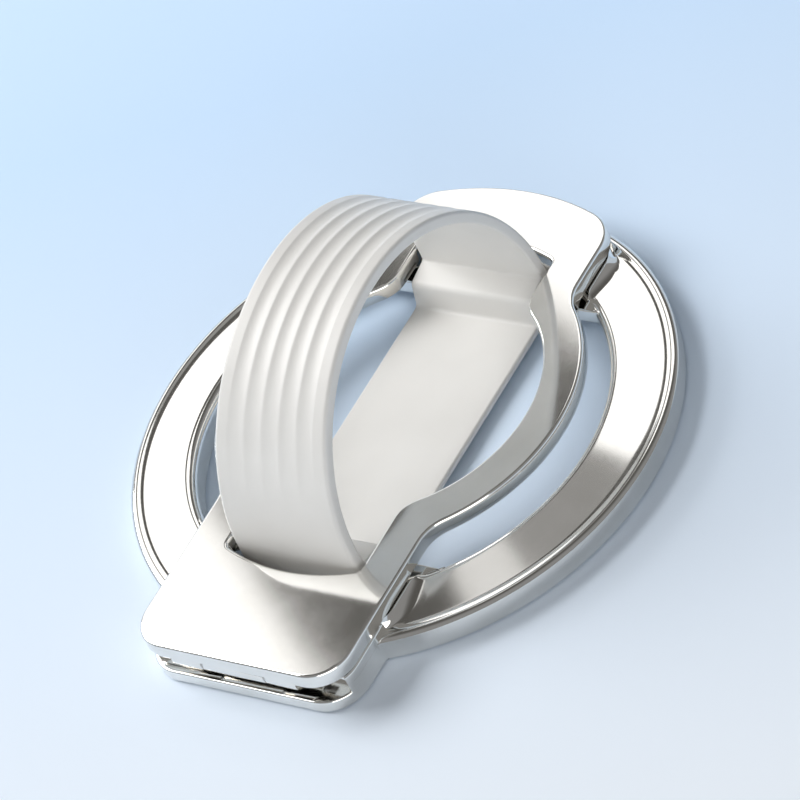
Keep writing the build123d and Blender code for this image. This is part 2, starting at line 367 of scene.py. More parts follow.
def work_in(target: Piece, tool: Piece, how: Join) -> None:
    """Work one closed solid into another and take the tool away.

    Args:
        target: The piece that is changed.
        tool: The solid that is added or cut out.
        how: Whether it is added or cut out.
    """
    activate(target)
    step = target.modifiers.new(how.name.lower(), "BOOLEAN")
    step.operation = how.value
    step.solver = "MANIFOLD"
    step.object = tool
    bpy.ops.object.modifier_apply(modifier=step.name)
    bpy.data.objects.remove(tool, do_unlink=True)


def tiers(outline: Outline, stations: Sequence[Pair], side: int = 1) -> np.ndarray:
    """Lay an outline at each of several stations.

    Args:
        outline: The outline in plan.
        stations: Inset and height of each ring.
        side: 1 where the material lies inside the outline, -1 where it lies outside.

    Returns:
        The places, one ring for each station.
    """
    rings = []
    for inset, level in stations:
        flat = outline.inset(side * inset)
        rings.append(np.column_stack([flat, np.full(len(flat), level)]))
    return np.array(rings)


def close_levels(piece: Piece, levels: Sequence[float]) -> None:
    """Close the open rims at some heights and turn the faces outwards.

    Args:
        piece: The piece with open rims.
        levels: The heights.
    """
    for level in levels:
        fill_rim(piece, lambda middle, level=level: abs(middle.z - level) < TOUCH)
    face_outwards(piece)


def slab(name: str, outline: Outline, stations: Sequence[Pair]) -> Piece:
    """Raise an outline through stations of inset and height, and close it above and below.

    Args:
        name: The piece's name.
        outline: The outline in plan.
        stations: Inset and height of each ring, from the lowest to the highest.

    Returns:
        The closed piece.
    """
    piece = skin(name, tiers(outline, stations))
    close_levels(piece, (stations[0][1], stations[-1][1]))
    return piece


def rounded_edge(radius: float, height: float, steps: int, upper: bool) -> list[Pair]:
    """Return stations of a rounded edge, with a support ring on the flat beside it.

    Args:
        radius: The edge's radius.
        height: The height of the flat.
        steps: The number of faces around the edge.
        upper: Whether the flat is above the edge.

    Returns:
        Inset and height of each ring, from the lowest to the highest.
    """
    sign = 1 if upper else -1
    angles = np.linspace(0, math.pi / 2, steps + 1)
    ring = [(radius * (1 - math.cos(a)), height - sign * radius * (1 - math.sin(a))) for a in angles]
    ring.append((radius * EDGE_SUPPORT, height))
    return ring if upper else ring[::-1]


def rod(name: str, radius: float, half_length: float, middle: Triple) -> Piece:
    """Add a round rod along X with softened ends.

    Args:
        name: The piece's name.
        radius: The rod's radius.
        half_length: Half of its length.
        middle: Its middle.

    Returns:
        The closed piece.
    """
    clear_selection()
    lying = (0, math.pi / 2, 0)
    bpy.ops.mesh.primitive_cylinder_add(
        vertices=ROD_SIDES, radius=radius, depth=2 * half_length, location=middle, rotation=lying
    )
    piece = bpy.context.active_object
    piece.name = name
    bpy.ops.object.transform_apply(location=True, rotation=True, scale=True)
    bpy.ops.object.mode_set(mode="EDIT")
    bpy.ops.mesh.select_mode(type="EDGE")
    mesh = bmesh.from_edit_mesh(piece.data)
    for edge in mesh.edges:
        edge.select_set(abs(edge.verts[0].co.x - edge.verts[1].co.x) < 1e-5)
    bmesh.update_edit_mesh(piece.data)
    bpy.ops.mesh.bevel(offset=radius * ROD_SOFTENING, segments=2, affect="EDGES")
    bpy.ops.object.mode_set(mode="OBJECT")
    return piece


def settle(piece: Piece, body: Body, finish: Finish) -> None:
    """Bring a piece from millimetres to its real size, smooth it, dress it and let it ride.

    Args:
        piece: The finished shape, in millimetres.
        body: The body that carries it.
        finish: Its material.
    """
    activate(piece)
    piece.scale = (MM, MM, MM)
    bpy.ops.object.transform_apply(location=True, rotation=True, scale=True)
    bpy.ops.object.shade_smooth_by_angle(angle=SMOOTH_ANGLE)
    piece.data.materials.clear()
    piece.data.materials.append(finish)
    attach(piece, body.value)
    log.info("%s: %d faces on %s", piece.name, len(piece.data.polygons), body.value)


# Shader work


class Wire:
    """A socket's value that takes part in Python arithmetic."""

    def __init__(self, bench: "Bench", socket: bpy.types.NodeSocket) -> None:
        """Keep the bench that the wire's nodes are added to, and the socket."""
        self.bench = bench
        self.socket = socket

    def _math(self, operation: str, first: "Wire | float", second: "Wire | float") -> "Wire":
        """Add one Math node and return its value."""
        return self.bench.add("ShaderNodeMath", {"operation": operation}, {0: first, 1: second})

    def __add__(self, other: "Wire | float") -> "Wire":
        """Add."""
        return self._math("ADD", self, other)

    def __radd__(self, other: float) -> "Wire":
        """Add to a number."""
        return self._math("ADD", other, self)

    def __sub__(self, other: "Wire | float") -> "Wire":
        """Subtract."""
        return self._math("SUBTRACT", self, other)

    def __rsub__(self, other: float) -> "Wire":
        """Subtract from a number."""
        return self._math("SUBTRACT", other, self)

    def __mul__(self, other: "Wire | float") -> "Wire":
        """Multiply."""
        return self._math("MULTIPLY", self, other)

    def __rmul__(self, other: float) -> "Wire":
        """Multiply a number."""
        return self._math("MULTIPLY", other, self)

    def __truediv__(self, other: "Wire | float") -> "Wire":
        """Divide."""
        return self._math("DIVIDE", self, other)

    def __rtruediv__(self, other: float) -> "Wire":
        """Divide a number."""
        return self._math("DIVIDE", other, self)


Stops = Sequence[tuple[float, Triple]]


class Bench:
    """A node tree with one method that adds any node."""

    def __init__(self, tree: bpy.types.NodeTree) -> None:
        """Clear the tree."""
        self.tree = tree
        tree.nodes.clear()

    def add(
        self, kind: str, settings: dict | None = None, inputs: dict | None = None, output: int | str = 0
    ) -> Wire:
        """Add a node, set it and link it.

        Args:
            kind: The node's type.
            settings: Its properties, set first; stops are a ramp's places and colours.
            inputs: Values or wires of its sockets, by name or number.
            output: The output that is wanted.

        Returns:
            The wanted output, or the first input's wire where the node has no output.
        """
        node = self.tree.nodes.new(kind)
        for key, value in (settings or {}).items():
            if key == "stops":
                self._set_stops(node.color_ramp, value)
            else:
                setattr(node, key, value)
        for key, value in (inputs or {}).items():
            if isinstance(value, Wire):
                self.tree.links.new(value.socket, node.inputs[key])
            else:
                node.inputs[key].default_value = value
        return Wire(self, node.outputs[output] if node.outputs else node.inputs[0])

    @staticmethod
    def _set_stops(ramp: bpy.types.ColorRamp, stops: Stops) -> None:
        """Give a ramp its places and colours.

        Args:
            ramp: The ramp.
            stops: The places and colours.
        """
        while len(ramp.elements) < len(stops):
            ramp.elements.new(0.5)
        for element, (place, colour) in zip(ramp.elements, stops):
            element.position = place
            element.color = (*colour, 1)

    def millimetres(self, stretch: Triple = (1, 1, 1)) -> Wire:
        """Take the piece's own coordinates in millimetres.

        Args:
            stretch: The factor along each axis.

        Returns:
            The coordinates.
        """
        place = self.add("ShaderNodeTexCoord", output="Object")
        scale = tuple(s / MM for s in stretch)
        return self.add("ShaderNodeMapping", {"vector_type": "POINT"}, {"Vector": place, "Scale": scale})

    def noise(self, place: Wire, scale: float, detail: float = 2.0) -> Wire:
        """Return a noise from 0 to 1 at a scale given per millimetre."""
        return self.add("ShaderNodeTexNoise", inputs={"Vector": place, "Scale": scale, "Detail": detail})

    def bump(self, height: Wire, distance: float, strength: float) -> Wire:
        """Return the normal of a bumpy surface."""
        inputs = {"Height": height, "Distance": distance, "Strength": strength}
        return self.add("ShaderNodeBump", inputs=inputs)

    def ramp(self, factor: Wire, stops: Stops) -> Wire:
        """Return the colour that a ramp gives for a factor."""
        return self.add("ShaderNodeValToRGB", {"stops": stops}, {"Fac": factor})

    def soft_rise(self, value: Wire, low: float, high: float) -> Wire:
        """Return a soft rise from 0 to 1 between two values."""
        limits = {"Value": value, "From Min": low, "From Max": high}
        return self.add("ShaderNodeMapRange", {"interpolation_type": "SMOOTHSTEP"}, limits)

    def dress(self, inputs: dict) -> None:
        """Give the material its surface."""
        surface = self.add("ShaderNodeBsdfPrincipled", inputs=inputs)
        self.add("ShaderNodeOutputMaterial", inputs={"Surface": surface})


def new_material(name: str) -> tuple[Finish, Bench]:
    """Make a material with an empty bench of nodes.

    Args:
        name: The material's name.

    Returns:
        The material and its bench.
    """
    material = bpy.data.materials.new(name)
    material.use_nodes = True
    return material, Bench(material.node_tree)


@dataclass(frozen=True)
class PolishedMetal:
    """Nickel-bright cast metal: polished, with faint unevenness and hairline marks."""

    name: str
    bright: Triple
    dull: Triple
    roughness: float
    spread: float
    cloud_scale: float = 0.22
    grain_scale: float = 9.0
    mark_scale: float = 2.2
    grain_height: float = 0.0003

    def material(self) -> Finish:
        """Build the material.

        Returns:
            The material.
        """
        material, bench = new_material(self.name)
        place = bench.millimetres()
        cloud = bench.noise(place, self.cloud_scale, 3.0)
        grain = bench.noise(place, self.grain_scale)
        marks = bench.noise(place, self.mark_scale)
        roughness = self.roughness + (cloud - 0.5) * self.spread + (marks - 0.5) * (self.spread * 0.8)
        height = grain * 0.7 + marks * 0.3
        bench.dress({
            "Base Color": bench.ramp(cloud, ((0.35, self.dull), (0.65, self.bright))),
            "Metallic": 1.0,
            "Roughness": roughness,
            "Normal": bench.bump(height, self.grain_height * MM, 0.06),
        })
        return material


@dataclass(frozen=True)
class TurnedSteel:
    """Plain steel with fine lines from turning or rolling across one axis."""

    name: str
    bright: Triple
    dull: Triple
    lines: Triple
    cloud_scale: float = 0.4
    line_height: float = 0.004

    def material(self) -> Finish:
        """Build the material.

        Returns:
            The material.
        """
        material, bench = new_material(self.name)
        lines = bench.noise(bench.millimetres(self.lines), 1.0)
        cloud = bench.noise(bench.millimetres(), self.cloud_scale)
        bench.dress({
            "Base Color": bench.ramp(lines * 0.6 + cloud * 0.4, ((0.3, self.dull), (0.7, self.bright))),
            "Metallic": 1.0,
            "Roughness": 0.24 + lines * 0.14,
            "Normal": bench.bump(lines, self.line_height * MM, 0.3),
        })
        return material


@dataclass(frozen=True)
class SoftSilicone:
    """Moulded silicone with a satin skin, a fine grain and a faint cloudiness."""

    name: str
    light: Triple
    dark: Triple
    roughness: float
    cloud_scale: float = 0.12
    grain_scale: float = 14.0
    grain_height: float = 0.006

    def material(self) -> Finish:
        """Build the material.

        Returns:
            The material.
        """
        material, bench = new_material(self.name)
        place = bench.millimetres()
        cloud = bench.noise(place, self.cloud_scale)
        grain = bench.noise(place, self.grain_scale, 3.0)
        bench.dress({
            "Base Color": bench.ramp(cloud * 0.75 + grain * 0.25, ((0.3, self.dark), (0.7, self.light))),
            "Roughness": self.roughness + (grain - 0.5) * 0.12 + (cloud - 0.5) * 0.08,
            "Normal": bench.bump(grain, self.grain_height * MM, 0.35),
        })
        return material


# Sub-assemblies


@dataclass
class BaseRing:
    """The cast ring with its bead, seats, hinge tab, knuckle and crossbars. Sizes are in millimetres."""

    outer_radius: float = 29.0
    inner_radius: float = 21.85
    face_height: float = 3.15
    seat_height: float = 3.5
    face_slope: float = 7.0
    face_end: float = 27.25
    inner_edge: float = 1.0
    bead_foot: Pair = (28.15, 2.68)
    bead_end: Pair = (29.0, 2.41)
    seat_edge: float = 0.25
    seat_half_width: float = 12.75
    seat_corner: float = 7.0
    seat_fillet: float = 2.6
    seat_softness: float = 2.6
    seat_step: float = 0.4
    seat_end: float = 27.7
    seat_power: float = 2.5
    seat_columns: int = 60
    plain_columns: int = 40
    bead_clearance: float = 2.0
    foot_rows: int = 5
    wall_rows: int = 7
    edge_rows: int = 14
    face_rows: int = 25
    cove_step: float = 0.09
    bead_step: float = 0.06
    outline_step: float = 0.5
    foot_edge: float = 0.15
    cover_radii: Pair = (22.55, 28.3)
    cover_depth: float = 0.4
    groove_radii: Pair = (23.25, 27.6)
    groove_depth: float = 1.8
    groove_columns: int = 240
    hair: float = 0.004
    tab_half_width: float = 12.45
    tab_front: float = -33.6
    tab_corner: float = 4.0
    tab_cove: float = 0.35
    tab_root: float = -24.5
    lip_height: float = 1.4
    lip_edge: float = 0.22
    block_foot: float = 0.84
    slot_back: float = -31.5
    hinge_y: float = -32.7
    hinge_z: float = 3.5
    knuckle_radius: float = 1.0
    knuckle_half: float = 3.65
    neck_root: float = 0.2
    neck_recess: float = 0.55
    bore_radius: float = 0.53
    bar_y: float = 17.886
    bar_width: float = 2.4
    bar_levels: Pair = (1.3, 3.05)
    bar_edge: float = 0.25
    bar_foot_edge: float = 0.12
    bar_step: float = 0.35
    bar_gap: float = 1.9
    bar_gap_offset: float = 2.4
    bar_root: float = 22.5

    def _profile(self) -> np.ndarray:
        """Draw the ring's section.

        Returns:
            Radius, plain height and height under the stand of each row.
        """
        slope = math.radians(self.face_slope)
        inner, outer, edge, foot = self.inner_radius, self.outer_radius, self.inner_edge, self.foot_edge
        rows: list[Triple] = [(self.cover_radii[0], 0.0, 0.0)]
        for radius, level in arc((inner + foot, foot), foot, -90, -180, self.foot_rows):
            rows.append((radius, level, level))
        plain_wall, seat_wall = self.face_height - edge, self.seat_height - edge
        for share in np.linspace(0, 1, self.wall_rows)[1:]:
            rows.append((inner, *(foot + share * (wall - foot) for wall in (plain_wall, seat_wall))))
        for angle in np.linspace(180, 90 - self.face_slope, self.edge_rows)[1:]:
            turn = math.radians(angle)
            raised = seat_wall + edge * (math.sin(turn) if angle > 90 else 1)
            rows.append((inner + edge * (1 + math.cos(turn)), plain_wall + edge * math.sin(turn), raised))
        start = rows[-1][0]
        start_height = rows[-1][1]
        end_height = start_height - (self.face_end - start) * math.tan(slope)
        for share in np.linspace(0, 1, self.face_rows)[1:]:
            radius = start + share * (self.face_end - start)
            rows.append((radius, start_height + share * (end_height - start_height), self.seat_height))
        cove, heading = tangent_bend((self.face_end, end_height), -self.face_slope, self.bead_foot)
        bead = tangent_bend(self.bead_foot, heading, self.bead_end)[0]
        cove_places, bead_places = cove.sample(self.cove_step)[0][1:], bead.sample(self.bead_step)[0]
        for radius, level in np.vstack([cove_places, bead_places, bead.close()[0]]):
            over = max(0.0, radius - (outer - self.seat_edge))
            drop = self.seat_edge - math.sqrt(max(0.0, self.seat_edge**2 - over**2))
            rows.append((min(radius, outer), level, self.seat_height - drop))
        wall = (self.bead_end[1], self.seat_height - self.seat_edge)
        for share in np.linspace(0, 1, self.wall_rows)[1:]:
            rows.append((outer, *(top + share * (foot - top) for top in wall)))
        for radius, level in arc((outer - foot, foot), foot, 0, -90, self.foot_rows)[1:]:
            rows.append((radius, level, level))
        return np.array(rows)

    def _groove(self) -> Piece:
        """Shape the space under the ring that takes the pad, the magnets and the shunt.

        Returns:
            The closed solid to cut out.
        """
        section = (
            (self.cover_radii[0], -self.cover_depth),
            (self.cover_radii[1], -self.cover_depth),
            (self.cover_radii[1], self.cover_depth),
            (self.groove_radii[1], self.cover_depth),
            (self.groove_radii[1], self.groove_depth),
            (self.groove_radii[0], self.groove_depth),
            (self.groove_radii[0], self.cover_depth),
            (self.cover_radii[0], self.cover_depth),
        )
        piece = skin("groove", circles(section, self.groove_columns), closed_rows=True)
        face_outwards(piece)
        return piece

    def _seat_reach(self, radius: float) -> float:
        """Measure how far across a seat reaches: straight, then around a corner under the plate.

        Args:
            radius: The radius on the ring.

        Returns:
            The reach in X.
        """
        across = self.seat_half_width - self.seat_corner
        reach = self.outer_radius - self.seat_corner
        rise = math.sqrt(reach**2 - across**2)
        if radius <= math.hypot(self.seat_half_width, rise):
            return self.seat_half_width
        lean = math.acos(min(1.0, (radius**2 + reach**2 - self.seat_corner**2) / (2 * radius * reach)))
        return radius * math.cos(math.atan2(rise, across) - lean)

    def _seat_run(self, radius: float, rise: float) -> float:
        """Measure how far a seat's soft step runs: a hollow fillet on the face, a short step at the bead.

        Args:
            radius: The radius on the ring.
            rise: The height of the step.

        Returns:
            The run in X.
        """
        fillet = math.sqrt(2 * self.seat_fillet * rise - rise**2)
        share = min(max((radius - self.seat_end) / self.bead_clearance + 1, 0.0), 1.0)
        return fillet + share**self.seat_power * (self.seat_step - fillet)

    def _ring(self) -> Piece:
        """Shape the ring with its two seats and the soft steps beside them.

        Returns:
            The closed ring.
        """
        soft = np.array([0, 0.03, 0.07, 0.13, 0.21, 0.31, 0.43, 0.57, 0.72, 0.87])
        even = np.linspace(0, 1, self.seat_columns + 1)[1:-1]
        flat = np.concatenate([[0.006, 0.014], even, [0.986, 0.994]])
        plain_shares = np.arange(self.plain_columns) / self.plain_columns
        rings = []
        for radius, plain, raised in self._profile():
            rise = max(raised - plain, self.seat_height - self.face_height)
            reach, run = self._seat_reach(radius), self._seat_run(radius, rise)
            edge, foot = math.acos(reach / radius), math.acos((reach + run) / radius)
            beside = np.arccos((reach + run * soft[::-1]) / radius)
            lift = (1 - soft[::-1]) ** self.seat_softness
            plain_turn = foot * plain_shares
            turn = np.concatenate([
                plain_turn,
                beside,
                edge + (math.pi - 2 * edge) * flat,
                math.pi - beside[::-1],
                math.pi - plain_turn[:0:-1],
            ])
            low = np.zeros(len(plain_turn))
            weight = np.concatenate([low, lift, np.ones(len(flat)), lift[::-1], low[1:]])
            turn, weight = np.concatenate([turn, turn + math.pi]), np.concatenate([weight, weight])
            height = plain + (raised - plain) * weight
            rings.append(np.column_stack([radius * np.cos(turn), radius * np.sin(turn), height]))
        piece = skin("cast_ring", np.array(rings), closed_rows=True)
        face_outwards(piece)
        return piece

    def _tab_parts(self, front: float, coved: bool) -> Run:
        """Draw the right half of the tab's outline, from its front to under the plate.

        Args:
            front: The place of its front edge in Y.
            coved: Whether a small cove leads from its side into the ring's wall.

        Returns:
            The stretches and arcs in order.
        """
        width, corner, cove = self.tab_half_width, self.tab_corner, self.tab_cove
        centre = (width - corner, self.tab_front + corner)
        begin = -math.degrees(math.asin(min(1.0, (centre[1] - front) / corner)))
        first = (centre[0] + corner * math.cos(math.radians(begin)), front)
        parts: Run = [Stretch((0, front), first), Bend(centre, corner, begin, 0)]
        if not coved:
            root = (width, self.tab_root)
            return parts + [Stretch((width, centre[1]), root), Stretch(root, (0, self.tab_root))]
        reach = self.outer_radius + cove
        cove_y = -math.sqrt(reach**2 - (width + cove) ** 2)
        meet = math.degrees(math.atan2(-cove_y, -width - cove))
        landing = ((width + cove) * self.outer_radius / reach, cove_y * self.outer_radius / reach)
        inwards = self.bead_foot[0] / self.outer_radius
        root = (landing[0] * inwards, landing[1] * inwards)
        return parts + [
            Stretch((width, centre[1]), (width, cove_y)),
            Bend((width + cove, cove_y), cove, 180, meet),
            Stretch(landing, root),
            Stretch(root, (0, root[1])),
        ]

    def _tab(self) -> Piece:
        """Shape the hinge tab: a low lip, the block behind the hinge slot and the bored centre knuckle.

        Returns:
            The closed tab.
        """
        foot = rounded_edge(self.foot_edge, self.hair, 4, upper=False)
        lip = slab(
            "hinge_lip",
            Outline(self._tab_parts(self.tab_front, coved=True), self.outline_step, mirrored=True),
            foot + rounded_edge(self.lip_edge, self.lip_height, 6, upper=True),
        )
        stem = slab(
            "hinge_stem",
            Outline(self._tab_parts(self.slot_back, coved=True), self.outline_step, mirrored=True),
            [(self.hair, self.lip_height / 2), (self.hair, self.bead_end[1] - self.hair)],
        )
        work_in(lip, stem, Join.ADD)
        edge = rounded_edge(self.seat_edge, self.seat_height + self.hair, 6, upper=True)
        block = slab(
            "hinge_block",
            Outline(self._tab_parts(self.slot_back, coved=False), self.outline_step, mirrored=True),
            [(inset + 2 * self.hair, level) for inset, level in [(0.0, self.block_foot)] + edge],
        )
        work_in(lip, block, Join.ADD)
        low, high = self.lip_height - self.neck_root, self.hinge_z
        front, back = self.hinge_y + self.neck_recess, self.slot_back + self.neck_root
        clear_selection()
        bpy.ops.mesh.primitive_cube_add(size=1, location=(0, (front + back) / 2, (low + high) / 2))
        neck = bpy.context.active_object
        neck.name = "neck"
        neck.scale = (2 * (self.knuckle_half - self.hair), back - front, high - low)
        bpy.ops.object.transform_apply(location=True, rotation=True, scale=True)
        work_in(lip, neck, Join.ADD)
        middle = (0, self.hinge_y, self.hinge_z)
        work_in(lip, rod("knuckle", self.knuckle_radius, self.knuckle_half, middle), Join.ADD)
        work_in(lip, rod("bore", self.bore_radius, self.knuckle_half + 1, middle), Join.CUT)
        return lip

    def _tongue(self, side: int, end: int) -> Piece:
        """Shape one tongue of a crossbar.

        Args:
            side: The side of the ring that it grows from, -1 or 1.
            end: The end of the ring that it crosses, -1 or 1.

        Returns:
            The tongue.
        """
        half = self.bar_width / 2
        tip = end * self.bar_gap_offset + side * (self.bar_gap / 2 + half)
        near, far = (self.bar_y - half, self.bar_y + half)
        roots = [math.sqrt(self.bar_root**2 - place**2) for place in (near, far)]
        low, high = (roots[0], roots[1]) if end > 0 else (roots[1], roots[0])
        parts: Run = [
            Stretch((side * low, -half), (tip, -half)),
            Bend((tip, 0), half, -90, -90 - side * 180),
            Stretch((tip, half), (side * high, half)),
            Stretch((side * high, half), (side * low, -half)),
        ]
        outline = Outline(parts, self.bar_step)
        if side > 0:
            outline.outward = -outline.outward
        outline.places = outline.places + np.array((0.0, end * self.bar_y))
        bottom, top = self.bar_levels
        stations = rounded_edge(self.bar_foot_edge, bottom, 4, upper=False)
        stations += rounded_edge(self.bar_edge, top, 6, upper=True)
        return slab("tongue", outline, stations)

    def build(self, finish: Finish) -> None:
        """Model the ring and dress it.

        Args:
            finish: Its material.
        """
        ring = self._ring()
        work_in(ring, self._tab(), Join.ADD)
        work_in(ring, self._groove(), Join.CUT)
        tongues = merge([self._tongue(side, end) for end in (-1, 1) for side in (-1, 1)])
        work_in(ring, tongues, Join.ADD)
        settle(ring, Body.BASE, finish)
        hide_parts("base_ring")


@dataclass
class StandPlate:
    """The hinged plate: two tabs joined by bowed arms, with two knuckles. Sizes are in millimetres."""

    bottom: float = 3.65
    top: float = 5.4
    edge: float = 0.32
    foot_edge: float = 0.15
    outline_step: float = 0.5
    half_width: float = 12.45
    front: float = -33.6
    front_corner: float = 4.0
    free_radius: float = 28.85
    free_corner: float = 4.5
    arm_centre: float = 1.2
    arm_radius: float = 19.5
    arm_opening: float = 15.35
    shoulder: float = 4.0
    waist: float = 3.5
    opening_half: float = 8.1
    opening_radius: float = 22.0
    opening_corner: float = 0.8
    hinge_y: float = -32.7
    hinge_z: float = 3.5
    knuckle_radius: float = 1.0
    knuckle_span: Pair = (3.9, 7.5)
    pocket_radius: float = 1.04
    bore_radius: float = 0.51

    def _bow(self, line: float, bend: float, radius: float) -> Run:
        """Draw a bowed arm with a hollow bend at each end, beside a straight line.

        Args:
            line: The place of the line in X.
            bend: The radius of the bends.
            radius: The radius of the arm.

        Returns:
            The three arcs, from the front to the free end.
        """
        across = line + bend
        along = math.sqrt((radius + bend) ** 2 - across**2)
        lean = math.degrees(math.atan2(along, -across))
        reach = math.degrees(math.atan2(along, across))
        return [
            Bend((across, self.arm_centre - along), bend, 180, lean),
            Bend((0, self.arm_centre), radius, -reach, reach),
            Bend((across, self.arm_centre + along), bend, -lean, -180),
        ]

    @staticmethod
    def _linked(parts: Sequence[Stretch | Bend]) -> Run:
        """Link arcs by straight stretches where they don't touch.

        Args:
            parts: The arcs in order.

        Returns:
            The arcs with the stretches between them.
        """
        run: Run = []
        for part in parts:
            if run:
                here = run[-1].close()[0]
                there = part.sample(1.0)[0][0]
                if np.linalg.norm(there - here) > 1e-6:
                    run.append(Stretch((here[0], here[1]), (there[0], there[1])))
            run.append(part)
        return run

    def _outside(self) -> Outline:
        """Draw the plate's outer outline.

        Returns:
            The outline.
        """
        width, corner, free = self.half_width, self.front_corner, self.free_corner
        inside = self.free_radius - free
        rise = math.sqrt(inside**2 - (width - free) ** 2)
        turn = math.degrees(math.atan2(rise, width - free))
        parts = [
            Stretch((0, self.front), (width - corner, self.front)),
            Bend((width - corner, self.front + corner), corner, -90, 0),
            *self._bow(width, self.shoulder, self.arm_radius),
            Bend((width - free, rise), free, 0, turn),
            Bend((0, 0), self.free_radius, turn, 90),
        ]
        return Outline(self._linked(parts), self.outline_step, mirrored=True)

    def _inside(self) -> Outline:
        """Draw the outline of the plate's opening.

        Returns:
            The outline.
        """
        width, corner = self.opening_half, self.opening_corner
        inside = self.opening_radius - corner
        rise = math.sqrt(inside**2 - (width - corner) ** 2)
        turn = math.degrees(math.atan2(rise, width - corner))
        parts = [
            Bend((0, 0), self.opening_radius, -90, -turn),
            Bend((width - corner, -rise), corner, -turn, 0),
            *self._bow(width, self.waist, self.arm_opening),
            Bend((width - corner, rise), corner, 0, turn),
            Bend((0, 0), self.opening_radius, turn, 90),
        ]
        return Outline(self._linked(parts), self.outline_step, mirrored=True)

    def _sheet(self) -> Piece:
        """Shape the flat plate with its rounded upper edge.

        Returns:
            The closed plate.
        """
        stations = rounded_edge(self.foot_edge, self.bottom, 3, upper=False)
        stations += rounded_edge(self.edge, self.top, 9, upper=True)
        outer = skin("outer_wall", tiers(self._outside(), stations))
        opening = skin("opening_wall", tiers(self._inside(), stations, -1))
        plate = merge([outer, opening])
        plate.name = "stand_leaf"
        close_levels(plate, (self.bottom, self.top))
        return plate

    def build(self, finish: Finish) -> None:
        """Model the plate with its knuckles and dress it.

        Args:
            finish: Its material.
        """
        plate = self._sheet()
        axis = (self.hinge_y, self.hinge_z)
        first, last = self.knuckle_span
        work_in(plate, rod("pocket", self.pocket_radius, first, (0, *axis)), Join.CUT)
        for side in (-1, 1):
            middle = (side * (first + last) / 2, *axis)
            work_in(plate, rod("knuckle", self.knuckle_radius, (last - first) / 2, middle), Join.ADD)
        work_in(plate, rod("bore", self.bore_radius, last + 1, (0, *axis)), Join.CUT)
        settle(plate, Body.STAND, finish)
        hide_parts("stand_plate")


